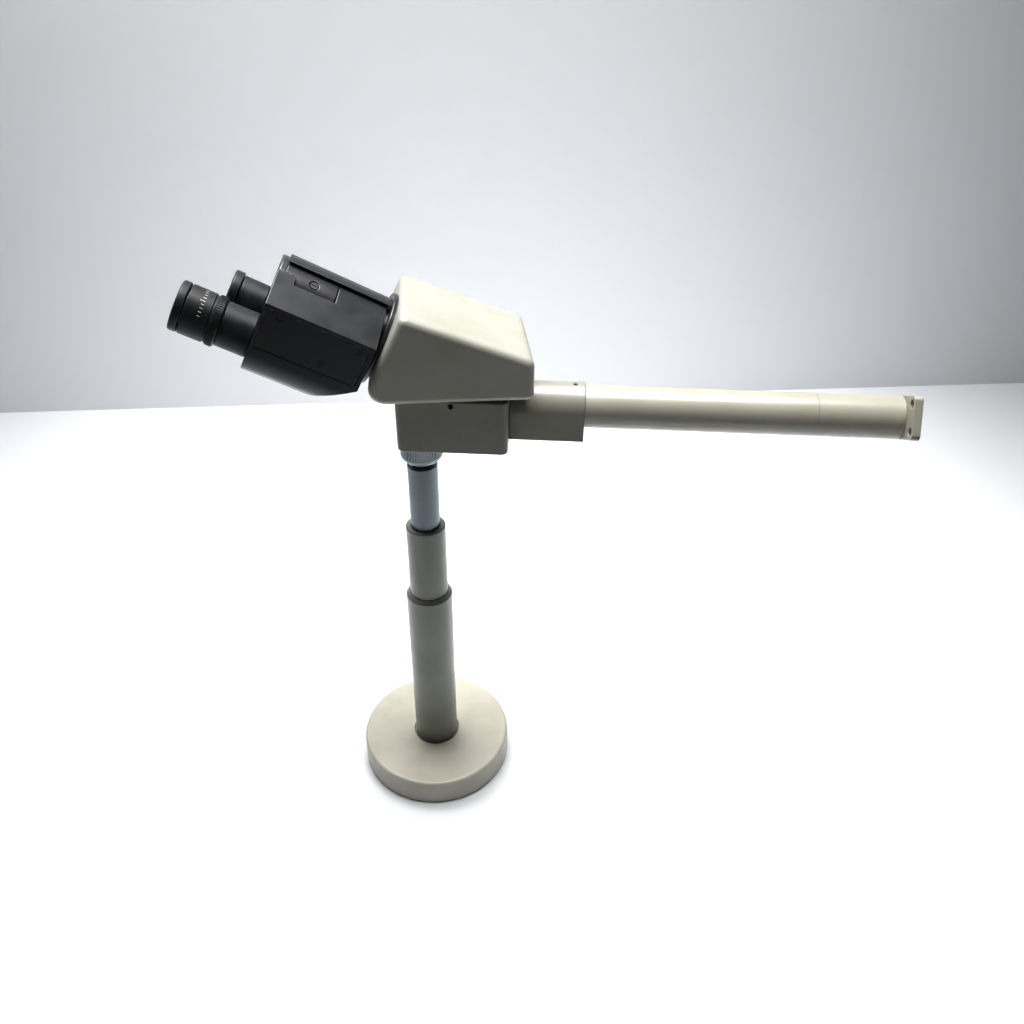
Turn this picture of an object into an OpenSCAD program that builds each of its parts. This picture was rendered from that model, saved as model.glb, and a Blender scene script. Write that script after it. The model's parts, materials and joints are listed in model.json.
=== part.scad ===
// Side-by-side viewing head for a microscope: a weighted telescopic stand
// carries a bridge block, an arm tube with an end flange, and a swivelling
// head with a folding binocular. Millimetres, +Z up. The origin is at the
// centre of the base's underside, and the arm runs along +X.

/* [Base] */
// Diameter of the weighted foot
base_d = 140; // [110:1:180]
// Height of the foot's top face above the table
base_h = 27; // [24:1:40]
// Radius of the foot's top edge
base_edge_r = 3; // [1:0.5:5]
// Diameter of the rubber disc under the foot
pad_d = 130; // [90:1:136]
// Thickness of the rubber disc
pad_t = 3; // [2:0.5:5]
// How far the rubber disc stands out under the foot
pad_proud = 1; // [0.5:0.5:1.5]

/* [Column] */
// Outer diameter of the lowest tube
outer_d = 40; // [34:0.5:50]
// Height of the lowest tube's mouth above the table
outer_top = 204; // [170:1:260]
// Outer diameter of the middle tube
middle_d = 33; // [28:0.5:34]
// Length of the middle tube
middle_len = 160; // [130:1:160]
// How far the middle tube stands out as stored
middle_out = 69.5; // [50:0.5:80]
// Outer diameter of the upper tube
inner_d = 24.4; // [20:0.2:25]
// Length of the upper tube
inner_len = 142; // [120:1:142]
// How far the upper tube stands out as stored
inner_out = 58.5; // [50:0.5:60]
// Wall of the two lower tubes
column_wall = 2.5; // [2:0.1:2.8]
// Diameter of the stud at the column's top
stud_d = 16; // [12:0.5:16.5]
// Bare length of stud between the upper tube and the collar
stud_gap = 5; // [2:0.5:8]
// Diameter of the locking collar
collar_d = 33.6; // [26:0.2:40]
// Height of the locking collar
collar_h = 26.5; // [18:0.5:34]

/* [Bridge block] */
// Length of the block along the arm
block_l = 82; // [80:1:100]
// Width of the block
block_w = 71; // [66:1:90]
// Height of the block
block_h = 42; // [40:0.5:56]
// Distance from the column's axis to the block's free end
block_back = 12.5; // [10:0.5:14]
// Radius of the block's upright edges
block_r = 5; // [2:0.5:8]
// Wall of the block
block_wall = 4; // [3:0.5:5]
// Height of the arm's axis above the block's underside
arm_rise = 24.6; // [24:0.1:30]

/* [Arm] */
// Outer diameter of the arm tube
arm_d = 32; // [28:0.5:32]
// Wall of the arm tube
arm_wall = 2.5; // [2:0.1:3]
// Distance from the block to the seam between arm tube and end tube
arm_out = 224.5; // [160:0.5:300]
// Length of the turning end tube
end_len = 62.5; // [50:0.5:90]
// Length of the sleeve that holds the arm tube
sleeve_l = 55.5; // [40:0.5:80]
// Metal between the arm tube and the outside of the sleeve
sleeve_wall = 2; // [1.6:0.1:4]
// Depth of the sleeve's flat underside below the arm's axis
sleeve_drop = 21; // [19:0.5:23]
// Width of the end flange
flange_w = 54; // [50:0.5:70]
// Height of the end flange
flange_h = 32; // [30:0.5:44]
// Thickness of the end flange
flange_t = 6.3; // [4:0.1:10]
// Corner radius of the end flange
flange_r = 4; // [1:0.5:6]
// Spacing of the flange holes along its width
hole_dx = 44; // [38:0.5:48]
// Spacing of the flange holes along its height
hole_dy = 20; // [16:0.5:22]
// Diameter of the flange holes
hole_d = 5.8; // [4.5:0.1:6.6]
// Diameter of the light port through the flange
port_d = 22; // [14:0.5:24]
// How far the end tube is turned about the arm as stored
flange_roll = 27; // [0:1:90]

/* [Head] */
// How far the head is turned on the block as stored
head_yaw = 8.7; // [-30:0.1:30]
// Width of the head
head_w = 88; // [78:1:110]
// Distance from the swivel axis to the head's low end
head_back = 53.6; // [46:0.2:60]
// Distance from the swivel axis to the centre of the sloping face
face_out = 53.3; // [48:0.1:60]
// Height of the sloping face's centre above the head's underside
face_rise = 31.6; // [30:0.1:40]
// Height of the head's ridge above its underside
ridge_h = 64.8; // [60:0.2:72]
// Height of the head's low end above its underside
tail_h = 30; // [24:0.2:44]
// Radius of the head's edges
head_r = 7; // [4:0.5:7]
// Radius of the head's lower front edge
head_toe_r = 13; // [10:0.5:15]
// Wall of the head
head_wall = 4; // [4:0.2:6]
// Gap between the block and the head
head_gap = 2.8; // [2:0.1:4]
// Angle of the eyepieces above the level
view_tilt = 27.2; // [20:0.5:35]
// Diameter of the spigot that the head swivels on
spigot_d = 47.9; // [40:0.1:48]

/* [Binocular] */
// Diameter of the mounting ring
ring_d = 68; // [60:0.5:70]
// Thickness of the mounting ring
ring_t = 3.2; // [2:0.1:4]
// Radius of the hinge barrel
barrel_r = 27; // [24:0.5:28]
// Diameter of the hinge shaft
shaft_d = 26; // [20:0.5:28]
// Distance from the head's face to the front of the prism housings
body_len = 81; // [70:0.5:95]
// Distance from the hinge axis to each eyepiece axis
hinge_r = 35.2; // [34:0.1:38]
// Angle of the eyepieces below the hinge as stored
droop = 42; // [40:0.1:45]
// Radius of a prism housing about its eyepiece axis
belly_r = 20; // [18.5:0.5:21]
// How far the housings' round undersides sit below the eyepiece axes
belly_drop = 3.5; // [0:0.5:4]
// Slope of the housings' upper faces
shoulder_slope = 22; // [20:0.5:26]

/* [Eyepieces] */
// Diameter of the eyepiece tubes
tube_d = 31.2; // [29:0.1:32]
// Diameter of the eyepiece heads and the focus ring
eyepiece_d = 34.2; // [33:0.1:36]
// Diameter of the eyepiece barrels
barrel_d = 23.2; // [20:0.1:23.2]
// Length of the tube in front of the right housing
right_tube_len = 21; // [16:0.5:30]
// Length of the tube in front of the left housing
left_tube_len = 18.5; // [17:0.5:30]
// Length of the focus ring
focus_len = 23.8; // [20:0.1:30]
// Length of the right eyepiece's head
right_head_len = 5.5; // [5:0.5:9]
// Length of the left eyepiece's head
left_head_len = 6.5; // [5:0.5:9]

/* [Fits] */
// Radial clearance of a turning or sliding fit
run_fit = 0.05; // [0.02:0.01:0.08]
// Gap between pieces that move past each other
move_gap = 0.3; // [0.25:0.05:0.5]

/* [Hidden] */
$fn = 96;
eps = 0.01;

// base and column
socket_floor = 12;
socket_relief_r = outer_d / 2 + 1.4;
socket_relief_h = 3;
bolt_head_d = 18;
bolt_head_h = 6;
bolt_d = 12;
bolt_recess_top = pad_t + bolt_head_h + 0.5;
plug_h = 32;
outer_bore_r = outer_d / 2 - column_wall;
outer_lip_r = middle_d / 2 + 0.3;
mouth_h = 3.5;
bush_h = 18;
middle_bore_r = middle_d / 2 - column_wall - 0.5;
middle_lip_r = inner_d / 2 + 0.3;
middle_chamfer = 1;
middle_top = outer_top + middle_out;
middle_foot = middle_top - middle_len;
inner_top = middle_top + inner_out;
inner_foot = inner_top - inner_len;
stud_grip = 30;
collar_z = inner_top + stud_gap;
block_z = collar_z + collar_h;
collar_lip = 1.2;
collar_flutes = 36;

// block
block_floor = 5;
block_x0 = -block_back;
block_x1 = block_x0 + block_l;
block_mid = (block_x0 + block_x1) / 2;
block_top = block_z + block_h;
stud_top = block_z + 20;
boss_r = stud_d / 2 + 5;
boss_top = stud_top - 4;
clip_h = 1.5;
plate_t = 9;
post_r = 5;
post_x = block_l / 2 - block_wall - post_r;
post_y = block_w / 2 - block_wall - post_r;
m3_r = 1.5;
lock_screw_z = block_top - 3.5;
lock_screw_r = 2;
lock_screw_sunk = 2.5;
arm_z = block_z + arm_rise;
mirror_side = 22;
mirror_t = 3;
mirror_mount_w = 26;
mirror_mount_h = 26;
mirror_mount_back = min(15, block_mid - boss_r - 0.5);
mirror_mount_front = arm_rise - block_floor - mirror_t * sqrt(2);

// arm
arm_r = arm_d / 2;
arm_bore_r = arm_r - arm_wall;
sleeve_x1 = block_x1 + sleeve_l;
sleeve_r = arm_r + sleeve_wall;
seam_x = block_x1 + arm_out;
seam_gap = 0.2;
flange_x = seam_x + end_len;
coupling_len = 30;
coupling_wall = 2;
cell_len = 8;
cell_wall = 2.5;
grub_x = sleeve_x1 - 7.5;
// where the two relay lenses sit along the arm
relay_x = [block_x1 + 40, block_x1 + 130];

// head
head_z = block_top + head_gap;
swivel_plate_r = block_w / 2 - 1.5;
spigot_r = spigot_d / 2;
light_hole_r = 13;
face_x = -face_out;
face_z = face_rise;
face_lean = tan(view_tilt);
head_toe_x = face_x - face_rise * face_lean;
toe_centre_x = head_toe_x + head_toe_r / cos(view_tilt) + head_toe_r * face_lean;
cover_x0 = toe_centre_x + 2;
head_ridge_x = face_x + (ridge_h - face_rise) * face_lean;
roof_slope = atan((ridge_h - tail_h) / (head_back - head_ridge_x));
cover_t = 3;
cover_edge = 7;
screw_post_w = 10;
screw_post_top = 12;
head_screw_x = [cover_x0 + 7, head_back - 15];
ring_spigot_r = 24;
ring_spigot_len = 9;

// binocular: distances along the optical axis, measured from the head's face
rear_end = ring_t + 2.1;
knuckle_split = 40;
cap_start = body_len - 4.8;
collar_end = ring_t + 1.8;
shaft_r = shaft_d / 2;
shaft_wall = 2.5;
eye_y = hinge_r * cos(droop);
eye_u = -hinge_r * sin(droop);
belly_u = eye_u - belly_drop;
side_y = eye_y + belly_r;
edge_u = (barrel_r - side_y * sin(shoulder_slope)) / cos(shoulder_slope);
finger_gap_r = barrel_r + 3;
finger_gap_end = cap_start - 8.2;
side_cover_t = 2;
side_cover_top = edge_u - 2.5;
side_cover_low = eye_u + 3;
side_cover_rear = 9;
undercut_s = 38;
undercut_slope = 36;
housing_wall = 3;
cap_end = body_len - move_gap;
side_screw_r = 1.2;
side_prism_w = 17;
side_prism_rear = knuckle_split + 4;
strip_half_angle = 14;
strip_gap = 1;
strip_t = 1.5;

// eyepieces
right_tube_end = body_len + right_tube_len;
left_tube_end = body_len + left_tube_len;
right_eye_end = right_tube_end + focus_len + 0.7;
barrel_r_eye = barrel_d / 2;
barrel_len = 17;
sleeve_bore_r = barrel_r_eye + run_fit;
focus_sleeve_r = sleeve_bore_r + 1.4;
focus_core_r = focus_sleeve_r + run_fit + 1.4;
lens_r = 10.5;

// ---------- shared shapes ----------

// a round tube standing on z
module pipe(r, bore, z0, z1) {
    translate([0, 0, z0]) difference() {
        cylinder(r = r, h = z1 - z0);
        translate([0, 0, -1]) cylinder(r = bore, h = z1 - z0 + 2);
    }
}

// a rectangle with round corners
module round_rect(l, w, r) {
    square([l - 2 * r, w], center = true);
    square([l, w - 2 * r], center = true);
    for (x = [-1, 1], y = [-1, 1])
        translate([x * (l / 2 - r), y * (w / 2 - r)]) circle(r = r);
}

// a lens with two bulging faces, centred on the origin, its axis along z
module lens(r, edge, sphere_r) {
    steps = 6;
    bulge = [for (i = [0 : steps - 1]) let (x = r * i / steps)
        [x, edge / 2 + sqrt(sphere_r * sphere_r - x * x) - sqrt(sphere_r * sphere_r - r * r)]];
    rotate_extrude() polygon(concat(bulge, [[r, edge / 2], [r, -edge / 2]],
        [for (i = [steps - 1 : -1 : 0]) [bulge[i][0], -bulge[i][1]]]));
}

// a countersunk screw, its head's flat face at z = 0, shank downwards
module sunk_screw(r, length) {
    difference() {
        union() {
            translate([0, 0, -r]) cylinder(r1 = r, r2 = 2 * r, h = r);
            translate([0, 0, -length]) cylinder(r = r, h = length);
        }
        translate([-2 * r, -r * 0.2, -r * 0.6]) cube([4 * r, r * 0.4, r]);
    }
}

// the hole that a countersunk screw fills
module sunk_hole(r, length) {
    translate([0, 0, -r]) cylinder(r1 = r + run_fit, r2 = 2 * r + run_fit, h = r);
    translate([0, 0, -length]) cylinder(r = r + run_fit, h = length + eps);
    cylinder(r = 2 * r + run_fit, h = 1);
}

// places things in the head's frame: origin on the head's underside, on its swivel axis
module on_head() {
    translate([block_mid, 0, head_z]) rotate([0, 0, head_yaw]) children();
}

// places things on the optical axis: z along it, x up and square to it
module on_axis() {
    on_head() translate([face_x, 0, face_z]) rotate([0, view_tilt - 90, 0]) children();
}

// places things on one eyepiece's axis: side is -1 for the right and 1 for the left
module on_eye(side) {
    on_axis() translate([eye_u, side * eye_y, 0]) children();
}

// places things on the arm's axis: z along the arm
module on_arm() {
    translate([0, 0, arm_z]) rotate([0, 90, 0]) children();
}

// ---------- stand ----------

module base_disc() {
    color("#BBB8AB") difference() {
        rotate_extrude() {
            translate([0, pad_proud]) square([base_d / 2, base_h - pad_proud - base_edge_r]);
            translate([0, pad_proud])
                square([base_d / 2 - base_edge_r, base_h - pad_proud]);
            translate([base_d / 2 - base_edge_r, base_h - base_edge_r]) intersection() {
                circle(r = base_edge_r);
                square(base_edge_r);
            }
        }
        translate([0, 0, socket_floor]) cylinder(r = outer_d / 2 + run_fit, h = base_h);
        translate([0, 0, base_h - socket_relief_h]) cylinder(r = socket_relief_r, h = base_h);
        cylinder(r = bolt_d / 2 + run_fit, h = base_h);
        cylinder(r = bolt_head_d / 2 + 0.5, h = bolt_recess_top);
        cylinder(r = pad_d / 2 + run_fit, h = pad_t);
    }
}

module base_pad() {
    color("#2A2A2A") cylinder(r = pad_d / 2, h = pad_t);
}

module base_bolt() {
    color("#6B6D70") difference() {
        union() {
            translate([0, 0, bolt_recess_top - bolt_head_h])
                cylinder(r = bolt_head_d / 2, h = bolt_head_h);
            translate([0, 0, bolt_recess_top - eps])
                cylinder(r = bolt_d / 2, h = socket_floor + plug_h - 6 - bolt_recess_top);
        }
        translate([0, 0, bolt_recess_top - bolt_head_h - 1])
            cylinder(r = bolt_d * 0.48, h = bolt_head_h - 1, $fn = 6);
    }
}

module column_plug() {
    color("#7D8084") pipe(outer_bore_r - run_fit, bolt_d / 2 + run_fit,
        socket_floor, socket_floor + plug_h);
}

module outer_column() {
    color("#8A8C84") difference() {
        rotate_extrude() polygon([[outer_bore_r, socket_floor], [outer_d / 2, socket_floor],
            [outer_d / 2, outer_top - mouth_h], [outer_lip_r + 0.6, outer_top],
            [outer_lip_r, outer_top], [outer_lip_r, outer_top - mouth_h],
            [outer_bore_r, outer_top - mouth_h]]);
    }
}

module outer_bush() {
    color("#D8D4C8") pipe(outer_bore_r - run_fit, middle_d / 2 + run_fit,
        outer_top - mouth_h - bush_h, outer_top - mouth_h);
}

module middle_column() {
    color("#8A8C84") rotate_extrude() polygon([[middle_bore_r, middle_foot],
        [middle_d / 2, middle_foot], [middle_d / 2, middle_top - middle_chamfer],
        [middle_d / 2 - middle_chamfer, middle_top], [middle_lip_r, middle_top],
        [middle_lip_r, middle_top - mouth_h], [middle_bore_r, middle_top - mouth_h]]);
}

module middle_tail_bush() {
    color("#D8D4C8") difference() {
        pipe(outer_bore_r - run_fit, middle_bore_r, middle_foot - 4, middle_foot + bush_h);
        translate([0, 0, middle_foot]) cylinder(r = middle_d / 2, h = bush_h + 1);
    }
}

module middle_bush() {
    color("#D8D4C8") pipe(middle_bore_r - run_fit, inner_d / 2 + run_fit,
        middle_top - mouth_h - bush_h, middle_top - mouth_h);
}

module inner_column() {
    color("#6E7679") pipe(inner_d / 2, stud_d / 2 + run_fit, inner_foot, inner_top);
}

module inner_tail_bush() {
    color("#D8D4C8") difference() {
        pipe(middle_bore_r - run_fit, stud_d / 2, inner_foot - 4, inner_foot + bush_h);
        translate([0, 0, inner_foot]) cylinder(r = inner_d / 2, h = bush_h + 1);
    }
}

module swivel_stud() {
    color("#53575A") difference() {
        translate([0, 0, inner_top - stud_grip])
            cylinder(r = stud_d / 2, h = stud_top - inner_top + stud_grip);
        pipe(stud_d, stud_d / 2 - 1, stud_top - 3.5, stud_top - 3.5 + clip_h);
    }
}

module lock_collar() {
    r = collar_d / 2;
    color("#C9CCCE") difference() {
        rotate_extrude() polygon([[stud_d / 2 + run_fit, collar_z],
            [r - 4, collar_z], [r - 3, collar_z + collar_lip], [r - 1.6, collar_z + 3.2],
            [r, collar_z + 4], [r, block_z - 1.5], [r - 0.8, block_z - move_gap],
            [stud_d / 2 + run_fit, block_z - move_gap]]);
        for (i = [0 : collar_flutes - 1])
            rotate([0, 0, i * 360 / collar_flutes])
                translate([r + 0.25, 0, collar_z + 7]) cylinder(r = 0.7, h = collar_h - 11, $fn = 16);
    }
}

// ---------- bridge block ----------

module block_housing() {
    color("#A3A297") difference() {
        translate([block_mid, 0, block_z]) {
            difference() {
                linear_extrude(block_h) round_rect(block_l, block_w, block_r);
                translate([0, 0, block_floor]) linear_extrude(block_h)
                    round_rect(block_l - 2 * block_wall, block_w - 2 * block_wall, 2);
            }
            for (x = [-1, 1], y = [-1, 1])
                translate([x * post_x, y * post_y, 1])
                    cylinder(r = post_r, h = block_h - plate_t - 1);
            intersection() {
                translate([-block_mid, 0, 1]) cylinder(r = boss_r, h = boss_top - block_z - 1);
                linear_extrude(block_h) round_rect(block_l - 1, block_w, block_r);
            }
        }
        translate([0, 0, block_z - 1]) cylinder(r = stud_d / 2 + run_fit, h = block_h);
        for (x = [-1, 1], y = [-1, 1])
            translate([block_mid + x * post_x, y * post_y, block_top - plate_t - 12])
                cylinder(r = m3_r + run_fit, h = 20);
        translate([block_mid, -block_w / 2 - 1, lock_screw_z]) rotate([-90, 0, 0])
            cylinder(r = lock_screw_r + run_fit, h = block_wall + 2);
        translate([block_x1 - block_wall - 1, 0, arm_z]) rotate([0, 90, 0])
            cylinder(r = arm_bore_r, h = block_wall + 2);
        sleeve_screw_places() translate([0, 0, -1]) cylinder(r = m3_r + run_fit, h = block_wall + 2);
        sleeve_screw_places() translate([0, 0, -3]) cylinder(r = 2 * m3_r + move_gap, h = 3);
        translate([0, 0, boss_top]) cylinder(r = stud_d / 2 + 2.5, h = block_h);
    }
}

module swivel_plate() {
    color("#B4B4AC") difference() {
        translate([block_mid, 0, block_top - plate_t]) linear_extrude(plate_t) difference() {
            round_rect(block_l - 2 * block_wall - 2 * run_fit,
                block_w - 2 * block_wall - 2 * run_fit, 2);
            circle(r = spigot_r + run_fit);
        }
        for (x = [-1, 1], y = [-1, 1])
            translate([block_mid + x * post_x, y * post_y, block_top - 0.3])
                sunk_hole(m3_r, plate_t + 2);
        translate([block_mid, -block_w / 2, lock_screw_z]) rotate([-90, 0, 0])
            cylinder(r = lock_screw_r + run_fit, h = block_w / 2);
    }
}

module plate_screws() {
    color("#8F9295") for (x = [-1, 1], y = [-1, 1])
        translate([block_mid + x * post_x, y * post_y, block_top - 0.3])
            sunk_screw(m3_r, plate_t + 8);
}

module stud_clip() {
    color("#8F9295") difference() {
        pipe(stud_d / 2 + 2, stud_d / 2 - 1 + run_fit, stud_top - 3.5, stud_top - 3.5 + clip_h);
        translate([0, -3, 0]) cube([stud_d, 6, stud_top + 10]);
    }
}

module head_lock_screw() {
    grub_len = block_w / 2 - lock_screw_sunk - spigot_r - move_gap;
    color("#3E4042") translate([block_mid, -block_w / 2 + lock_screw_sunk, lock_screw_z])
        rotate([-90, 0, 0]) difference() {
            cylinder(r = lock_screw_r, h = grub_len);
            translate([0, 0, -1]) cylinder(r = lock_screw_r * 0.55, h = 3, $fn = 6);
        }
}

module mirror_mount() {
    color("#3A3B3D") translate([block_mid, 0, block_z + block_floor]) rotate([90, 0, 0])
        linear_extrude(mirror_mount_w, center = true)
            polygon([[-mirror_mount_back, 0], [mirror_mount_front, 0],
                [mirror_mount_front - mirror_mount_h, mirror_mount_h],
                [-mirror_mount_back, mirror_mount_h]]);
}

// the mirror's face crosses the arm's axis under the head's swivel axis
module fold_mirror() {
    color("#C8D4DC") translate([block_mid, 0, arm_z]) rotate([0, 45, 0])
        translate([-mirror_side / 2, -mirror_side / 2, -mirror_t])
            cube([mirror_side, mirror_side, mirror_t]);
}

// ---------- arm ----------

// the two screws that hold the sleeve on the block, each axis along +X
module sleeve_screw_places() {
    for (y = [-1, 1]) translate([block_x1 - block_wall, y * 12, arm_z - sleeve_drop + 3.5])
        rotate([0, 90, 0]) children();
}

module sleeve_section() {
    circle(r = sleeve_r);
    translate([0, -sleeve_r]) square([sleeve_drop, 2 * sleeve_r]);
}

module arm_sleeve() {
    color("#9B9A8F") difference() {
        translate([block_x1, 0, arm_z]) rotate([0, 90, 0]) linear_extrude(sleeve_l) sleeve_section();
        on_arm() translate([0, 0, block_x1 + 4]) cylinder(r = arm_r + run_fit, h = sleeve_l);
        on_arm() translate([0, 0, block_x1 - 1]) cylinder(r = arm_bore_r, h = sleeve_l);
        translate([grub_x, 0, arm_z]) cylinder(r = m3_r + run_fit, h = 30);
        sleeve_screw_places() cylinder(r = m3_r + run_fit, h = block_wall + 9);
    }
}

module sleeve_screws() {
    color("#8F9295") sleeve_screw_places() {
        translate([0, 0, -2]) cylinder(r = 2 * m3_r, h = 2);
        cylinder(r = m3_r, h = block_wall + 8);
    }
}

module arm_lock_screw() {
    color("#3E4042") translate([grub_x, 0, arm_z + arm_r]) difference() {
        cylinder(r = m3_r, h = 1.4);
        translate([0, 0, 0.4]) cylinder(r = m3_r * 0.5, h = 3, $fn = 6);
    }
}

module arm_tube() {
    color("#BDB9AA") on_arm() pipe(arm_r, arm_bore_r, block_x1 + 4, seam_x - seam_gap / 2);
}

module relay_cells() {
    color("#2B2B2D") on_arm() for (x = relay_x)
        pipe(arm_bore_r - run_fit, arm_bore_r - cell_wall, x - cell_len / 2, x + cell_len / 2);
}

module relay_lenses() {
    color("#CFE0E4") on_arm() for (x = relay_x)
        translate([0, 0, x]) lens(arm_bore_r - cell_wall - run_fit, 2.5, 45);
}

module coupling_sleeve() {
    color("#B79A55") on_arm() pipe(arm_bore_r - run_fit, arm_bore_r - coupling_wall,
        seam_x - coupling_len / 2, seam_x + coupling_len / 2);
}

module end_tube() {
    color("#BDB9AA") on_arm() pipe(arm_r, arm_bore_r, seam_x + seam_gap / 2, flange_x);
}

module end_flange() {
    color("#B5B1A3") translate([flange_x, 0, arm_z]) rotate([-flange_roll, 0, 0])
        rotate([0, 90, 0]) linear_extrude(flange_t) difference() {
            round_rect(flange_h, flange_w, flange_r);
            circle(r = port_d / 2);
            for (x = [-1, 1], y = [-1, 1])
                translate([x * hole_dy / 2, y * hole_dx / 2]) circle(r = hole_d / 2);
        }
}

module end_lens() {
    color("#CFE0E4") on_arm() translate([0, 0, flange_x - 7])
        lens(arm_bore_r - run_fit, 2.5, 60);
}

// ---------- head ----------

module head_swivel() {
    color("#8F9295") on_head() difference() {
        union() {
            translate([0, 0, -head_gap + move_gap])
                cylinder(r = swivel_plate_r, h = head_gap - move_gap);
            translate([0, 0, -head_gap - plate_t + 0.5]) cylinder(r = spigot_r, h = plate_t + 1);
        }
        translate([0, 0, -head_gap - plate_t]) cylinder(r = light_hole_r, h = plate_t + 20);
        translate([0, 0, -3.5 - head_gap]) rotate_extrude() translate([spigot_r, 0])
            polygon([[-1, -0.8], [1, -2.8], [1, 2.8], [-1, 0.8]]);
    }
}

// the head's side outline, moved in by a margin, with its lower front edge rounded
function head_corners(m) = [
    for (i = [0 : 4]) let (t = 180 - view_tilt + i * (90 + view_tilt) / 4)
        [toe_centre_x + (head_toe_r - m) * cos(t), head_toe_r + (head_toe_r - m) * sin(t)],
    [head_back - m, m],
    [head_back - m, tail_h - m / cos(roof_slope) + m * tan(roof_slope)],
    [head_ridge_x + ridge_shift(m), ridge_h - m / cos(roof_slope) - ridge_shift(m) * tan(roof_slope)]];
function ridge_shift(m) = m * (1 / cos(view_tilt) - face_lean / cos(roof_slope))
    / (1 + tan(roof_slope) * face_lean);

module head_housing() {
    color("#E4E2D9") on_head() {
        difference() {
            hull() for (y = [-1, 1], p = head_corners(head_r))
                translate([p[0], y * (head_w / 2 - head_r), p[1]]) sphere(r = head_r, $fn = 32);
            rotate([90, 0, 0]) linear_extrude(head_w - 2 * head_wall, center = true)
                polygon(head_corners(head_wall));
            translate([cover_x0, -head_w / 2 + cover_edge, -1])
                cube([head_back - cover_edge - cover_x0, head_w - 2 * cover_edge, head_wall + 2]);
            translate([face_x, 0, face_z]) rotate([0, view_tilt - 90, 0])
                translate([0, 0, -ring_spigot_len - 4]) cylinder(r = ring_spigot_r + run_fit, h = 30);
        }
        // posts for the cover's screws, joined to the side walls
        difference() {
            for (x = head_screw_x, y = [-1, 1])
                translate([x - screw_post_w / 2, y * (head_w / 2 - head_wall / 2 - screw_post_w)
                        - screw_post_w, cover_t])
                    cube([screw_post_w, 2 * screw_post_w, screw_post_top - cover_t]);
            head_screw_places() rotate([180, 0, 0]) sunk_hole(m3_r, 9);
        }
    }
}

module head_cover() {
    color("#B9B6AB") on_head() difference() {
        translate([cover_x0 + run_fit, -head_w / 2 + cover_edge + run_fit, 0])
            cube([head_back - cover_edge - cover_x0 - 2 * run_fit,
                head_w - 2 * cover_edge - 2 * run_fit, cover_t]);
        translate([0, 0, -1]) cylinder(r = light_hole_r, h = cover_t + 2);
        head_screw_places() rotate([180, 0, 0]) sunk_hole(m3_r, 9);
    }
}

module head_screw_places() {
    for (x = head_screw_x, y = [-1, 1]) translate([x, y * (head_w / 2 - 12), 0.2]) children();
}

module head_screws() {
    color("#8F9295") on_head() head_screw_places() rotate([180, 0, 0]) sunk_screw(m3_r, 8);
}

module head_prism() {
    color("#CFE0E4") on_head() rotate([90, 0, 0]) linear_extrude(26, center = true)
        polygon([[-15, 6], [15, 6], [15, 20], [-15, 32]]);
}

module mount_ring() {
    color("#26272A") on_axis() difference() {
        union() {
            translate([0, 0, -ring_spigot_len]) cylinder(r = ring_spigot_r, h = ring_spigot_len);
            cylinder(r = ring_d / 2, h = ring_t - 1);
            translate([0, 0, ring_t - 1]) cylinder(r1 = ring_d / 2, r2 = ring_d / 2 - 1, h = 1);
            cylinder(r = barrel_r - 3, h = collar_end);
        }
        translate([0, 0, -ring_spigot_len - 1]) cylinder(r = shaft_r + run_fit, h = 30);
    }
}

// ---------- binocular ----------

module hinge_shaft() {
    color("#6B6D70") on_axis() pipe(shaft_r, shaft_r - shaft_wall, -ring_spigot_len, body_len - 1.5);
}

module splitter_prism() {
    side = (shaft_r - shaft_wall) * 1.38;
    color("#CFE0E4") on_axis() translate([-side / 2, -side / 2, 48]) cube(side);
}

module hinge_cap() {
    color("#26272A") on_axis() difference() {
        translate([0, 0, cap_start]) cylinder(r = barrel_r, h = cap_end - cap_start);
        translate([0, 0, cap_start - 1]) cylinder(r = shaft_r + run_fit, h = body_len - cap_start - 0.5);
    }
}

module hinge_strip() {
    inner = barrel_r + strip_gap;
    outer = inner + strip_t;
    color("#2E3034") on_axis() translate([0, 0, ring_t]) linear_extrude(cap_start - ring_t)
        intersection() {
            difference() {
                circle(r = outer);
                circle(r = inner);
            }
            polygon([[0, 0], [2 * outer * cos(strip_half_angle), -2 * outer * sin(strip_half_angle)],
                [2 * outer * cos(strip_half_angle), 2 * outer * sin(strip_half_angle)]]);
        }
}

// a prism housing's section, x up and y to the left eye; this is the right one
module half_section(inset) {
    difference() {
        union() {
            polygon([[0, -3 - inset],
                [(barrel_r - inset) * cos(shoulder_slope), -(barrel_r - inset) * sin(shoulder_slope)],
                [edge_u - inset, -side_y + inset],
                [belly_u, -side_y + inset], [belly_u, -(eye_y - belly_r + inset)]]);
            translate([belly_u, -eye_y]) circle(r = belly_r - inset);
        }
        translate([-100, -3 - inset]) square([200, 100]);
    }
}

// the space under a housing's sloping rear
module rear_undercut() {
    low = belly_u - belly_r;
    rear = low + undercut_s * tan(undercut_slope);
    rotate([90, 0, 0]) linear_extrude(200, center = true)
        polygon([[low, undercut_s], [rear, 0], [rear, -20], [low - 60, -20], [low - 60, undercut_s]]);
}

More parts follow.
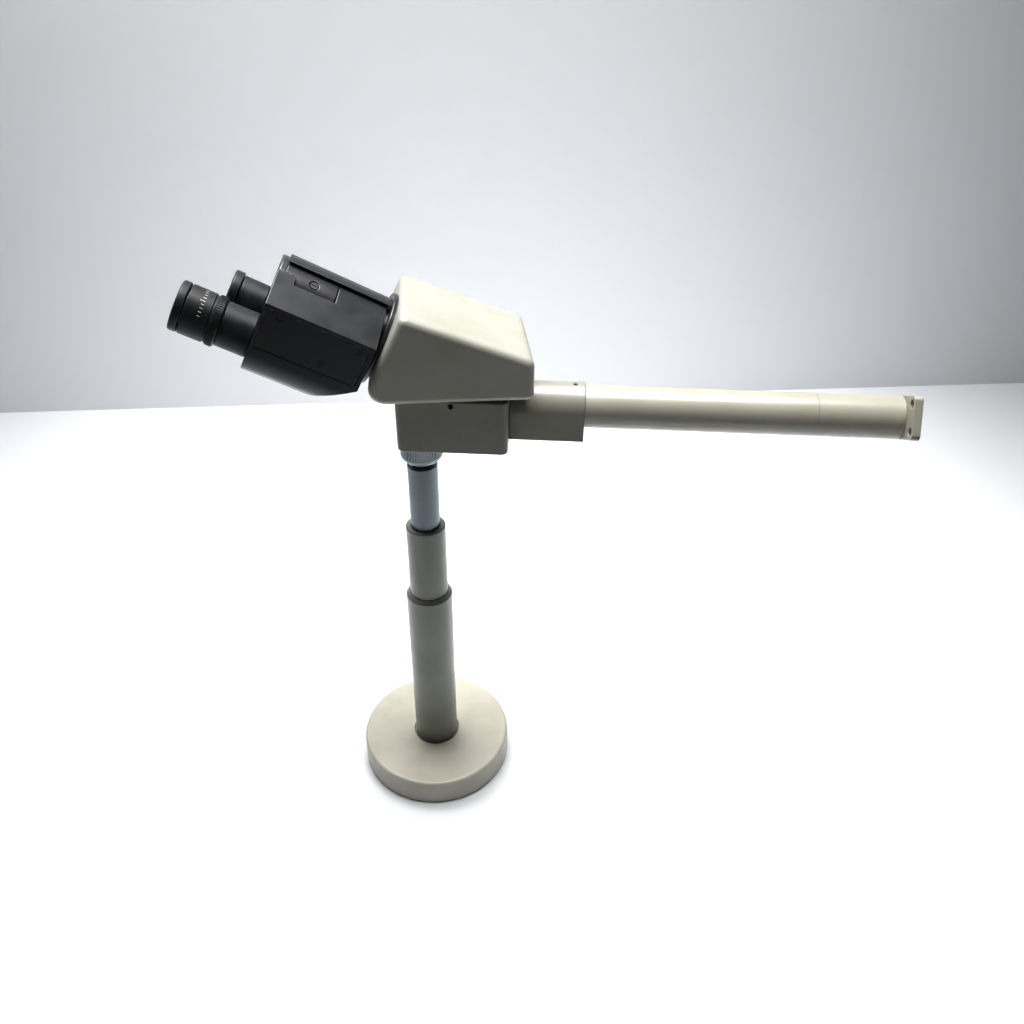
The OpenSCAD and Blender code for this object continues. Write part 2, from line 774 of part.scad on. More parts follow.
// one prism housing in the right eye's place, with its knuckle between two distances
module housing_body(knuckle_from, knuckle_to) {
    difference() {
        union() {
            difference() {
                translate([0, 0, rear_end]) linear_extrude(body_len - rear_end) half_section(0);
                cylinder(r = barrel_r + move_gap, h = body_len + 1);
            }
            translate([0, 0, knuckle_from]) {
                cylinder(r = barrel_r, h = knuckle_to - knuckle_from);
                linear_extrude(knuckle_to - knuckle_from) half_section(0);
            }
        }
        // room for the other knuckle's open side
        if (knuckle_from < knuckle_split)
            translate([0, 0, knuckle_to]) cylinder(r = finger_gap_r, h = finger_gap_end - knuckle_to);
        translate([0, 0, -1]) cylinder(r = shaft_r + run_fit, h = body_len + 2);
        rear_undercut();
        // prism space, open to the side
        difference() {
            translate([0, 0, knuckle_split + 1])
                linear_extrude(body_len - 4 - knuckle_split - 1) half_section(housing_wall);
            cylinder(r = finger_gap_r + 2, h = body_len);
        }
        // light way to the eyepiece
        translate([eye_u, -eye_y, body_len - 5]) cylinder(r = barrel_r_eye + 0.4, h = 10);
        // recess and fixing holes of the side cover
        translate([side_cover_low, -side_y - 1, side_cover_rear])
            cube([side_cover_top - side_cover_low, 1 + side_cover_t, body_len - 2 - side_cover_rear]);
        side_screw_places() sunk_hole(side_screw_r, 7);
    }
}

// the three screws of a side cover, each axis square to the cover
module side_screw_places() {
    for (p = [[edge_u - 5.5, body_len - 12], [edge_u - 5.5, side_cover_rear + 6],
              [eye_u + 9, knuckle_split - 5]])
        translate([p[0], -side_y + 0.2, p[1]]) rotate([90, 0, 0]) children();
}

module side_cover() {
    difference() {
        translate([side_cover_low + run_fit, -side_y, side_cover_rear + run_fit])
            cube([side_cover_top - side_cover_low - 2 * run_fit, side_cover_t,
                body_len - 2 - side_cover_rear - 2 * run_fit]);
        side_screw_places() sunk_hole(side_screw_r, 7);
        rear_undercut();
    }
}

module side_prism() {
    rotate([0, 0, atan2(-eye_y, eye_u)])
        translate([finger_gap_r + 3, -side_prism_w / 2, side_prism_rear])
            cube([side_prism_w, side_prism_w, side_prism_w + 7]);
}

module right_housing() {
    color("#26272A") on_axis() housing_body(rear_end, knuckle_split - 0.2);
}

module left_housing() {
    color("#26272A") on_axis() difference() {
        mirror([0, 1, 0]) housing_body(knuckle_split + 0.1, cap_start - move_gap);
        hinge_screw_place() sunk_hole(m3_r, 7);
    }
}

module right_side_cover() {
    color("#1F2023") on_axis() side_cover();
}

module left_side_cover() {
    color("#1F2023") on_axis() mirror([0, 1, 0]) side_cover();
}

module right_cover_screws() {
    color("#3E4042") on_axis() side_screw_places() sunk_screw(side_screw_r, 6);
}

module left_cover_screws() {
    color("#3E4042") on_axis() mirror([0, 1, 0]) side_screw_places() sunk_screw(side_screw_r, 6);
}

module right_prism() {
    color("#CFE0E4") on_axis() side_prism();
}

module left_prism() {
    color("#CFE0E4") on_axis() mirror([0, 1, 0]) side_prism();
}

// on the front knuckle, with its axis pointing out of the barrel
module hinge_screw_place() {
    rotate([0, 0, -33]) translate([barrel_r - 0.4, 0, knuckle_split + 16])
        rotate([0, 90, 0]) children();
}

module hinge_screw() {
    color("#3E4042") on_axis() hinge_screw_place() sunk_screw(m3_r, 6);
}

// ---------- eyepieces ----------

module right_tube() {
    color("#232427") on_eye(-1) difference() {
        union() {
            translate([0, 0, body_len]) cylinder(r = tube_d / 2, h = right_tube_len);
            translate([0, 0, right_tube_end - eps]) cylinder(r = focus_core_r, h = focus_len - 4);
        }
        translate([0, 0, body_len - 1]) cylinder(r = focus_sleeve_r + run_fit, h = 80);
    }
}

module focus_ring() {
    r = eyepiece_d / 2;
    s0 = right_tube_end + move_gap;
    s1 = right_tube_end + focus_len;
    color("#2A2B2E") on_eye(-1) rotate_extrude() polygon([
        [focus_core_r + run_fit, s0], [r - 0.6, s0], [r + 0.3, s0 + 1.2], [r + 0.3, s0 + 5],
        [r - 0.6, s0 + 6.2], [r - 0.6, s0 + 7.2], [r - 0.1, s0 + 7.8], [r - 0.1, s1 - 0.8],
        [r - 0.8, s1], [focus_sleeve_r + 1, s1], [focus_sleeve_r + 1, s1 - 3],
        [focus_core_r + run_fit, s1 - 3]]);
}

module focus_sleeve() {
    color("#8F9295") on_eye(-1) pipe(focus_sleeve_r, sleeve_bore_r,
        body_len + 2, right_tube_end + focus_len + 0.4);
}

// an eyepiece whose head starts at a distance along its axis
module eyepiece(start, head_len) {
    r = eyepiece_d / 2;
    rotate_extrude() polygon([[barrel_r_eye - 1.2, start - barrel_len],
        [barrel_r_eye, start - barrel_len], [barrel_r_eye, start], [r - 0.8, start],
        [r, start + 0.8], [r, start + head_len - 1.6], [r - 1.6, start + head_len],
        [lens_r + 2, start + head_len], [lens_r, start + head_len - 2],
        [lens_r, start + head_len - 5], [barrel_r_eye - 1.2, start + head_len - 5]]);
}

module eye_lens(end) {
    translate([0, 0, end - 4]) lens(lens_r - run_fit, 1.2, 40);
}

module right_eyepiece() {
    color("#1D1E20") on_eye(-1) eyepiece(right_eye_end, right_head_len);
}

module right_eye_lens() {
    color("#CFE0E4") on_eye(-1) eye_lens(right_eye_end + right_head_len);
}

module left_tube() {
    color("#232427") on_eye(1) pipe(tube_d / 2, sleeve_bore_r, body_len, left_tube_end);
}

module left_eyepiece() {
    color("#1D1E20") on_eye(1) eyepiece(left_tube_end + move_gap, left_head_len);
}

module left_eye_lens() {
    color("#CFE0E4") on_eye(1) eye_lens(left_tube_end + move_gap + left_head_len);
}

base_disc();
base_pad();
base_bolt();
column_plug();
outer_column();
outer_bush();
middle_column();
middle_tail_bush();
middle_bush();
inner_column();
inner_tail_bush();
swivel_stud();
lock_collar();
block_housing();
swivel_plate();
plate_screws();
stud_clip();
head_lock_screw();
mirror_mount();
fold_mirror();
arm_sleeve();
sleeve_screws();
arm_lock_screw();
arm_tube();
relay_cells();
relay_lenses();
coupling_sleeve();
end_tube();
end_flange();
end_lens();
head_swivel();
head_housing();
head_cover();
head_screws();
head_prism();
mount_ring();
hinge_shaft();
splitter_prism();
hinge_cap();
hinge_strip();
right_housing();
right_side_cover();
right_cover_screws();
right_prism();
right_tube();
focus_ring();
focus_sleeve();
right_eyepiece();
right_eye_lens();
left_housing();
left_side_cover();
left_cover_screws();
left_prism();
left_tube();
left_eyepiece();
left_eye_lens();
hinge_screw();
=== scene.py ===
import json
import math

import bpy
from mathutils import Matrix, Vector


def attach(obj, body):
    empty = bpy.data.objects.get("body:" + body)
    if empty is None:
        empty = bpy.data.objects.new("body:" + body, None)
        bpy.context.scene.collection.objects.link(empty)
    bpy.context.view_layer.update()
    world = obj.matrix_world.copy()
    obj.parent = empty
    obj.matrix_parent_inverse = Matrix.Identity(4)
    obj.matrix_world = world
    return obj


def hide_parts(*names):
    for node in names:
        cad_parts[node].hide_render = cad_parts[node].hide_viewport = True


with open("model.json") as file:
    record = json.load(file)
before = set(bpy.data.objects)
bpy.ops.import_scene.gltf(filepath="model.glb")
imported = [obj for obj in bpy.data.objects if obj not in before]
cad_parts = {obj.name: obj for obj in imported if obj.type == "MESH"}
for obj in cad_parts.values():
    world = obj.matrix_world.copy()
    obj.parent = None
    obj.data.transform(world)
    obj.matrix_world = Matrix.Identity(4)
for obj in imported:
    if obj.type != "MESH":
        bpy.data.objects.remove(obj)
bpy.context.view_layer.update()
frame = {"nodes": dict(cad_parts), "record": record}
nodes = frame["nodes"]

# ---------------------------------------------------------------- sizes, in millimetres and degrees
BLOCK_BACK, BLOCK_FRONT, BLOCK_HALF_WIDTH = -12.5, 69.5, 35.5
BLOCK_BOTTOM, BLOCK_TOP = 363.5, 405.5
BLOCK_WALL, BLOCK_FLOOR, CORNER_RADIUS = 4, 5, 5
STUD_BORE_R, LOCK_HOLE_R = 8.05, 2.05
LOCK_HOLE_X, LOCK_HOLE_DROP = 28.5, 3.5
FOOT_R, FOOT_H, FOOT_BORE_R = 70, 27, 20.05
COLLAR_Z, COLLAR_TOP, COLLAR_R = 337.0, 363.2, 16.8
HEAD_YAW = 8.7
VIEW_TILT = 27.2
SWIVEL = (28.5, 0, 408.3)
FACE_OUT, FACE_RISE = 53.3, 31.6
RIDGE_H, TAIL_H, BACK_X = 64.8, 30, 53.6
HEAD_HALF_WIDTH, TOE_RADIUS = 44, 13
HEAD_WALL, HEAD_ROUNDING, COVER_INSET = 3.8, 5.2, 7
RING_R, RING_T, SPIGOT_R, SPIGOT_END = 34.0, 3.2, 24, -9
HINGE_R, DROOP = 35.2, 42
BODY_LEN = 81.0
SHAFT_BORE_R, CAP_R = 13.05, 27
CAP_START, CAP_END = BODY_LEN - 4.8, BODY_LEN - 0.3
TUBE_R, BARREL_BORE_R = 15.6, 11.65
FOCUS_BORE_R, FOCUS_GRIP_R, FOCUS_R = 14.6, 17.4, 17.0
RIGHT_TUBE_END = BODY_LEN + 21
LEFT_TUBE_END = BODY_LEN + 18.5
RIGHT_EYE_START = RIGHT_TUBE_END + 24.5
LEFT_EYE_START = LEFT_TUBE_END + 0.3
# vertices nearer than this, in metres, are merged, and edges sharper than this are creases
MERGE_GAP, CAD_MERGE_GAP = 0.000004, 0.000002
CREASE = math.radians(32)


def mm(*values):
    return Vector(values) * 0.001


def turned_about(axis, degrees):
    return Matrix.Rotation(math.radians(degrees), 4, axis)


# where the local z axis of each group of pieces lies
COLUMN = Matrix.Identity(4)
HEAD = Matrix.Translation(mm(*SWIVEL)) @ turned_about("Z", HEAD_YAW)
OPTICAL = HEAD @ Matrix.Translation(mm(-FACE_OUT, 0, FACE_RISE)) @ turned_about("Y", VIEW_TILT - 90)
EYE_SIDE = HINGE_R * math.cos(math.radians(DROOP))
EYE_DROP = HINGE_R * math.sin(math.radians(DROOP))
RIGHT_EYE = OPTICAL @ Matrix.Translation(mm(-EYE_DROP, -EYE_SIDE, 0))
LEFT_EYE = OPTICAL @ Matrix.Translation(mm(-EYE_DROP, EYE_SIDE, 0))


# ---------------------------------------------------------------- materials
def srgb(code):
    """A hex colour as the linear values that a shader takes."""
    parts = [int(code[i:i + 2], 16) / 255 for i in (1, 3, 5)]
    return [c / 12.92 if c <= 0.04045 else ((c + 0.055) / 1.055) ** 2.4 for c in parts] + [1.0]


def add_node(tree, kind, settings=None, links=None):
    node = tree.nodes.new(kind)
    for key, value in (settings or {}).items():
        if isinstance(key, int) or not hasattr(node, key):
            node.inputs[key].default_value = value
        else:
            setattr(node, key, value)
    for key, source in (links or {}).items():
        tree.links.new(source, node.inputs[key])
    return node


def new_material(name):
    material = bpy.data.materials.new(name)
    material.use_nodes = True
    tree = material.node_tree
    tree.nodes.clear()
    shader = add_node(tree, "ShaderNodeBsdfPrincipled")
    add_node(tree, "ShaderNodeOutputMaterial", links={"Surface": shader.outputs["BSDF"]})
    place = add_node(tree, "ShaderNodeTexCoord").outputs["Object"]
    return material, tree, shader, place


def ramp(tree, source, stops):
    """A colour ramp through the given positions and hex colours."""
    node = add_node(tree, "ShaderNodeValToRGB", links={"Fac": source})
    band = node.color_ramp
    while len(band.elements) < len(stops):
        band.elements.new(0.5)
    for element, (position, code) in zip(band.elements, stops):
        element.position = position
        element.color = srgb(code)
    return node.outputs["Color"]


def worn_edges(tree, place, reach, patch):
    """1 on sharp outside edges, broken up by a noise of the given patch size, in metres."""
    rounded = add_node(tree, "ShaderNodeBevel", {"samples": 4, "Radius": reach})
    flat = add_node(tree, "ShaderNodeNewGeometry")
    turn = add_node(tree, "ShaderNodeVectorMath", {"operation": "DOT_PRODUCT"},
                    {0: rounded.outputs["Normal"], 1: flat.outputs["Normal"]})
    edge = add_node(tree, "ShaderNodeMapRange", {1: 0.985, 2: 0.90, 3: 0.0, 4: 1.0},
                    {0: turn.outputs["Value"]})
    chips = add_node(tree, "ShaderNodeTexNoise", {"Scale": 1 / patch, "Detail": 4.0, "Roughness": 0.7},
                     {"Vector": place})
    keep = add_node(tree, "ShaderNodeMapRange", {1: 0.50, 2: 0.60, 3: 0.0, 4: 1.0},
                    {0: chips.outputs["Fac"]})
    both = add_node(tree, "ShaderNodeMath", {"operation": "MULTIPLY"},
                    {0: edge.outputs["Result"], 1: keep.outputs["Result"]})
    return both.outputs["Value"]


def enamel(name, clean, aged, chip, roughness, peel=0.0012, wear=0.5, coat=0.3):
    """Stove enamel sprayed on metal: a skin with a slight orange peel, yellowed in patches and
    thin on the edges. peel is the width of the peel's cells, in metres."""
    material, tree, shader, place = new_material(name)
    # the tone drifts over about 45 mm, and fine dust speckles it at 0.9 mm
    drift = add_node(tree, "ShaderNodeTexNoise", {"Scale": 1 / 0.045, "Detail": 3.0}, {"Vector": place})
    tone = ramp(tree, drift.outputs["Fac"], [(0.30, aged), (0.62, clean)])
    dust = add_node(tree, "ShaderNodeTexNoise", {"Scale": 1 / 0.0009, "Detail": 2.0}, {"Vector": place})
    speck = add_node(tree, "ShaderNodeMapRange", {1: 0.62, 2: 0.75, 3: 0.0, 4: 0.22},
                     {0: dust.outputs["Fac"]})
    dusty = add_node(tree, "ShaderNodeMix", {"data_type": "RGBA", 7: srgb(aged)},
                     {0: speck.outputs["Result"], 6: tone})
    edge = worn_edges(tree, place, 0.0012, 0.006)
    fade = add_node(tree, "ShaderNodeMath", {"operation": "MULTIPLY", 1: wear}, {0: edge})
    paint = add_node(tree, "ShaderNodeMix", {"data_type": "RGBA", 7: srgb(chip)},
                     {0: fade.outputs["Value"], 6: dusty.outputs[2]})
    # the peel's cells are 1.0 to 1.6 mm across and about a tenth deep
    peel_noise = add_node(tree, "ShaderNodeTexNoise", {"Scale": 1 / peel, "Detail": 2.0}, {"Vector": place})
    bump = add_node(tree, "ShaderNodeBump", {"Strength": 0.22, "Distance": 0.00012},
                    {"Height": peel_noise.outputs["Fac"]})
    rub = add_node(tree, "ShaderNodeTexNoise", {"Scale": 1 / 0.018, "Detail": 5.0, "Roughness": 0.65},
                   {"Vector": place})
    gloss = add_node(tree, "ShaderNodeMapRange", {1: 0.3, 2: 0.7, 3: roughness - 0.06, 4: roughness + 0.09},
                     {0: rub.outputs["Fac"]})
    tree.links.new(paint.outputs[2], shader.inputs["Base Color"])
    tree.links.new(gloss.outputs["Result"], shader.inputs["Roughness"])
    tree.links.new(bump.outputs["Normal"], shader.inputs["Normal"])
    shader.inputs["IOR"].default_value = 1.5
    shader.inputs["Coat Weight"].default_value = coat
    shader.inputs["Coat Roughness"].default_value = 0.22
    return material


def lathe_metal(name, colour, dark, roughness, stretch, line=0.0005, depth=0.00002):
    """Metal cut on a lathe, bare or plated: fine rings round the axis, across which light streaks.
    stretch squeezes the pattern along the turning axis, so that its lines run round the piece,
    and line is their spacing in metres."""
    material, tree, shader, place = new_material(name)
    squeeze = add_node(tree, "ShaderNodeMapping", {"Scale": stretch}, {"Vector": place})
    rings = add_node(tree, "ShaderNodeTexNoise", {"Scale": 0.04 / line, "Detail": 4.0, "Roughness": 0.7},
                     {"Vector": squeeze.outputs["Vector"]})
    tone = ramp(tree, rings.outputs["Fac"], [(0.32, dark), (0.66, colour)])
    gloss = add_node(tree, "ShaderNodeMapRange", {1: 0.3, 2: 0.7, 3: roughness - 0.06, 4: roughness + 0.08},
                     {0: rings.outputs["Fac"]})
    bump = add_node(tree, "ShaderNodeBump", {"Strength": 0.5, "Distance": depth},
                    {"Height": rings.outputs["Fac"]})
    tree.links.new(tone, shader.inputs["Base Color"])
    tree.links.new(gloss.outputs["Result"], shader.inputs["Roughness"])
    tree.links.new(bump.outputs["Normal"], shader.inputs["Normal"])
    shader.inputs["Metallic"].default_value = 1.0
    return material


def anodised(name, colour, worn, roughness):
    """Aluminium dyed in the anodising bath: a dull, even skin that turns grey where fingers rub it."""
    material, tree, shader, place = new_material(name)
    rub = add_node(tree, "ShaderNodeTexNoise", {"Scale": 1 / 0.007, "Detail": 5.0, "Roughness": 0.6},
                   {"Vector": place})
    tone = ramp(tree, rub.outputs["Fac"], [(0.35, colour), (0.8, worn)])
    edge = worn_edges(tree, place, 0.0008, 0.003)
    fade = add_node(tree, "ShaderNodeMath", {"operation": "MULTIPLY", 1: 0.55}, {0: edge})
    skin = add_node(tree, "ShaderNodeMix", {"data_type": "RGBA", 7: srgb("#6A6C70")},
                    {0: fade.outputs["Value"], 6: tone})
    # bead-blasted grain, 0.25 mm, drawn twice as coarse as it is so that it shows
    grain = add_node(tree, "ShaderNodeTexNoise", {"Scale": 1 / 0.0005, "Detail": 2.0}, {"Vector": place})
    bump = add_node(tree, "ShaderNodeBump", {"Strength": 0.3, "Distance": 0.00004},
                    {"Height": grain.outputs["Fac"]})
    gloss = add_node(tree, "ShaderNodeMapRange", {1: 0.3, 2: 0.7, 3: roughness - 0.05, 4: roughness + 0.1},
                     {0: rub.outputs["Fac"]})
    tree.links.new(skin.outputs[2], shader.inputs["Base Color"])
    tree.links.new(gloss.outputs["Result"], shader.inputs["Roughness"])
    tree.links.new(bump.outputs["Normal"], shader.inputs["Normal"])
    shader.inputs["Metallic"].default_value = 0.35
    return material


def moulded(name, colour, dark, roughness, grain_size, depth):
    """Plastic, rubber or filling paint: matt, with a fine even grain of the given size in metres."""
    material, tree, shader, place = new_material(name)
    cloud = add_node(tree, "ShaderNodeTexNoise", {"Scale": 1 / 0.02, "Detail": 3.0}, {"Vector": place})
    tone = ramp(tree, cloud.outputs["Fac"], [(0.3, dark), (0.7, colour)])
    grain = add_node(tree, "ShaderNodeTexVoronoi", {"Scale": 1 / grain_size}, {"Vector": place})
    bump = add_node(tree, "ShaderNodeBump", {"Strength": 0.4, "Distance": depth},
                    {"Height": grain.outputs["Distance"]})
    tree.links.new(tone, shader.inputs["Base Color"])
    tree.links.new(bump.outputs["Normal"], shader.inputs["Normal"])
    shader.inputs["Roughness"].default_value = roughness
    return material


def optical_glass(name, tint):
    """Polished and coated optical glass: clear, with a faint coloured bloom from its coating."""
    material, tree, shader, place = new_material(name)
    bloom = add_node(tree, "ShaderNodeTexNoise", {"Scale": 1 / 0.012, "Detail": 1.0}, {"Vector": place})
    tone = ramp(tree, bloom.outputs["Fac"], [(0.3, tint), (0.7, "#E6EEF2")])
    tree.links.new(tone, shader.inputs["Base Color"])
    shader.inputs["Roughness"].default_value = 0.03
    shader.inputs["IOR"].default_value = 1.52
    shader.inputs["Transmission Weight"].default_value = 0.92
    shader.inputs["Coat Weight"].default_value = 0.4
    shader.inputs["Coat Tint"].default_value = srgb("#C3C8E4")
    return material


foot_enamel = enamel("warm grey stove enamel on cast iron", "#A9A699", "#9C998B", "#6F6C62", 0.42,
                     peel=0.0016)
column_enamel = enamel("grey stove enamel on steel tube", "#85877D", "#7A7B71", "#A5A69C", 0.38, wear=0.35)
head_enamel = enamel("cream stove enamel on cast aluminium", "#A09F96", "#98968A", "#7C7A71", 0.38,
                     peel=0.0014)
block_enamel = enamel("grey beige stove enamel on cast aluminium", "#8A887E", "#7F7D72", "#626057", 0.42)
arm_enamel = enamel("beige stove enamel on aluminium tube", "#A19E92", "#989487", "#78756D", 0.36)
black_enamel = enamel("black stove enamel on cast aluminium", "#1D1E21", "#17181B", "#6E7076", 0.34,
                      peel=0.0010, wear=0.55, coat=0.3)
black_anodising = anodised("black anodised aluminium", "#1D1E20", "#292B2E", 0.42)
turned_steel = lathe_metal("turned mild steel", "#A9ACAF", "#85888B", 0.30, (1, 1, 30))
nickel_tube = lathe_metal("satin nickel plate on steel tube", "#747C80", "#6E767A", 0.36, (1, 1, 30),
                          line=0.0012, depth=0.000004)
collar_chrome = lathe_metal("bright chrome plate", "#989FA3", "#727A7E", 0.16, (1, 1, 30), depth=0.000006)
zinc_screw = lathe_metal("zinc plated steel", "#B9BDC1", "#9A9EA2", 0.28, (1, 1, 1), line=0.02)
black_steel = lathe_metal("oil blackened steel", "#4A4C50", "#35373A", 0.36, (1, 1, 1), line=0.02)
turned_brass = lathe_metal("turned brass", "#C9A65A", "#A98743", 0.28, (30, 1, 1))
nylon = moulded("natural nylon", "#DDD8CA", "#CFCABA", 0.45, 0.0008, 0.00002)
foot_rubber = moulded("black rubber sheet", "#2B2B2B", "#202020", 0.75, 0.0012, 0.00012)
mark_paint = moulded("white filling paint", "#E8E6DE", "#D2D0C6", 0.5, 0.0006, 0.00001)
mirror_glass = lathe_metal("silvered mirror glass", "#E4ECF0", "#DCE6EA", 0.10, (1, 1, 1),
                           line=0.02, depth=0.000001)
clear_glass = optical_glass("coated optical glass", "#D6E4F0")

finishes = {
    "base_paint": foot_enamel, "column_paint": column_enamel, "head_paint": head_enamel,
    "block_paint": block_enamel, "arm_paint": arm_enamel, "black_paint": black_enamel,
    "black_anodised": black_anodising, "bare_steel": turned_steel, "inner_steel": nickel_tube,
    "black_steel": black_steel, "collar_chrome": collar_chrome, "nylon": nylon, "rubber": foot_rubber,
    "brass": turned_brass, "mirror": mirror_glass, "glass": clear_glass,
}
for part in frame["record"]["subparts"]:
    mesh = nodes[part["node"]].data
    mesh.materials.clear()
    mesh.materials.append(finishes[part["material_slot"]])
for screw_set in ("plate_screws", "sleeve_screws", "head_screws"):
    nodes[screw_set].data.materials[0] = zinc_screw


# ---------------------------------------------------------------- workshop
def put_down():
    if bpy.context.mode != "OBJECT":
        bpy.ops.object.mode_set(mode="OBJECT")
    bpy.ops.object.select_all(action="DESELECT")


def pick_up(piece):
    put_down()
    piece.select_set(True)
    bpy.context.view_layer.objects.active = piece


def edit(piece):
    pick_up(piece)
    bpy.ops.object.mode_set(mode="EDIT")


def select_faces(piece, wanted):
    """Selects the faces for which wanted(centre in mm, normal) is true, and stays in edit mode."""
    edit(piece)
    bpy.ops.mesh.select_mode(type="FACE")
    bpy.ops.mesh.select_all(action="DESELECT")
    bpy.ops.object.mode_set(mode="OBJECT")
    for face in piece.data.polygons:
        face.select = bool(wanted(face.center * 1000, face.normal))
    bpy.ops.object.mode_set(mode="EDIT")


def select_edges(piece, wanted):
    """Selects the edges for which wanted(end, end), in mm, is true, and stays in edit mode."""
    edit(piece)
    bpy.ops.mesh.select_mode(type="EDGE")
    bpy.ops.mesh.select_all(action="DESELECT")
    bpy.ops.object.mode_set(mode="OBJECT")
    spots = [v.co * 1000 for v in piece.data.vertices]
    for edge in piece.data.edges:
        edge.select = bool(wanted(spots[edge.vertices[0]], spots[edge.vertices[1]]))
    bpy.ops.object.mode_set(mode="EDIT")


def lathe(name, outline, steps=96):
    """Turns a closed outline of (radius, height) points, in mm, about the z axis."""
    put_down()
    bpy.ops.mesh.primitive_plane_add(size=0.001, location=mm(outline[0][0], 0, outline[0][1]))
    piece = bpy.context.object
    piece.name = name
    bpy.ops.object.transform_apply(location=True, rotation=True, scale=True)
    bpy.ops.object.mode_set(mode="EDIT")
    bpy.ops.mesh.select_mode(type="VERT")
    bpy.ops.mesh.select_all(action="SELECT")
    bpy.ops.mesh.merge(type="CENTER")
    for (r0, z0), (r1, z1) in zip(outline, outline[1:] + outline[:1]):
        bpy.ops.mesh.extrude_vertices_move(TRANSFORM_OT_translate={"value": mm(r1 - r0, 0, z1 - z0)})
    bpy.ops.mesh.select_all(action="SELECT")
    bpy.ops.mesh.remove_doubles(threshold=MERGE_GAP)
    bpy.ops.mesh.select_all(action="SELECT")
    bpy.ops.mesh.spin(steps=steps, angle=2 * math.pi, center=(0, 0, 0), axis=(0, 0, 1))
    bpy.ops.mesh.select_all(action="SELECT")
    bpy.ops.mesh.remove_doubles(threshold=MERGE_GAP)
    bpy.ops.mesh.dissolve_degenerate(threshold=CAD_MERGE_GAP)
    bpy.ops.mesh.select_all(action="SELECT")
    bpy.ops.mesh.normals_make_consistent(inside=False)
    put_down()
    return piece


def soften(piece, width, segments=3, angle=32, clamp=True):
    """Rounds every edge sharper than an angle."""
    bevel = piece.modifiers.new("softened edges", "BEVEL")
    bevel.width = width * 0.001
    bevel.segments = segments
    bevel.limit_method = "ANGLE"
    bevel.angle_limit = math.radians(angle)
    bevel.use_clamp_overlap = clamp
    bevel.miter_outer = "MITER_ARC"
    pick_up(piece)
    bpy.ops.object.modifier_apply(modifier=bevel.name)


def cut(piece, cutter):
    """Takes the cutter's shape out of a piece, and removes the cutter."""
    saw = piece.modifiers.new("cut", "BOOLEAN")
    saw.operation = "DIFFERENCE"
    saw.solver = "EXACT"
    saw.object = cutter
    pick_up(piece)
    bpy.ops.object.modifier_apply(modifier=saw.name)
    bpy.data.objects.remove(cutter)


def drill(radius, low, high, x=0, y=0, steps=48):
    """A round cutter along z, in mm."""
    put_down()
    bpy.ops.mesh.primitive_cylinder_add(vertices=steps, radius=radius * 0.001, depth=(high - low) * 0.001,
                                        location=mm(x, y, (low + high) / 2))
    bpy.ops.object.transform_apply(location=True, rotation=True, scale=True)
    return bpy.context.object


def block(name, low, high):
    """A square block between two corners, in mm."""
    put_down()
    bpy.ops.mesh.primitive_cube_add(size=1, location=(mm(*low) + mm(*high)) / 2)
    piece = bpy.context.object
    piece.name = name
    piece.scale = mm(*high) - mm(*low)
    bpy.ops.object.transform_apply(location=True, rotation=True, scale=True)
    return piece


def fit(piece, place, body, slot, finish, *replaced):
    """Puts a finished piece where it belongs, gives it its finish and lets it ride on its body."""
    pick_up(piece)
    piece.matrix_world = place
    bpy.ops.object.transform_apply(location=True, rotation=True, scale=True)
    bpy.ops.object.shade_smooth_by_angle(angle=CREASE)
    evened = piece.modifiers.new("flat faces stay flat", "WEIGHTED_NORMAL")
    evened.keep_sharp = True
    bpy.ops.object.modifier_apply(modifier=evened.name)
    piece.data.materials.clear()
    piece.data.materials.append(finish)
    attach(piece, body)
    if replaced:
        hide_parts(*replaced)
    put_down()
    return piece


def softened_copy(node, name, width, segments=3):
    """A copy of a CAD node with its sharp edges rounded."""
    put_down()
    piece = nodes[node].copy()
    piece.data = nodes[node].data.copy()
    piece.name = name
    piece.parent = None
    bpy.context.scene.collection.objects.link(piece)
    edit(piece)
    bpy.ops.mesh.select_all(action="SELECT")
    bpy.ops.mesh.remove_doubles(threshold=CAD_MERGE_GAP)
    bpy.ops.mesh.dissolve_limited(angle_limit=math.radians(0.4))
    bpy.ops.mesh.customdata_custom_splitnormals_clear()
    put_down()
    soften(piece, width, segments, 34, clamp=False)
    return piece


def quarter(radius, centre_r, centre_z, start, end, steps=6):
    """Points of an arc in a lathe outline, between two angles in degrees."""
    return [(centre_r + radius * math.cos(math.radians(start + (end - start) * i / steps)),
             centre_z + radius * math.sin(math.radians(start + (end - start) * i / steps)))
            for i in range(steps + 1)]


def every_second_strip(centre, degrees):
    """Whether a face is on every second one of the strips, of the given width, round the z axis."""
    return int(math.degrees(math.atan2(centre.y, centre.x)) % 360 / degrees) % 2


# ---------------------------------------------------------------- stand
# the foot: a groove round the column, a rounded rim, a seat for the pad and a counterbored bolt hole
foot = lathe("weighted_foot", [(FOOT_BORE_R, 12), (FOOT_BORE_R, FOOT_H - 3)]
             + quarter(0.8, 20.85, 24.0, 270, 360, 2) + [(21.65, 26.6)]
             + quarter(0.4, 22.05, 26.6, 180, 90, 3)
             + quarter(3, FOOT_R - 3, FOOT_H - 3, 90, 0, 8) + quarter(1.0, FOOT_R - 1, 2.0, 0, -90, 4)
             + [(65.05, 1), (65.05, 3), (9.5, 3), (9.5, 9.5), (6.05, 9.5), (6.05, 12)], 160)
fit(foot, COLUMN, "stand", "base_paint", foot_enamel, "base_disc")

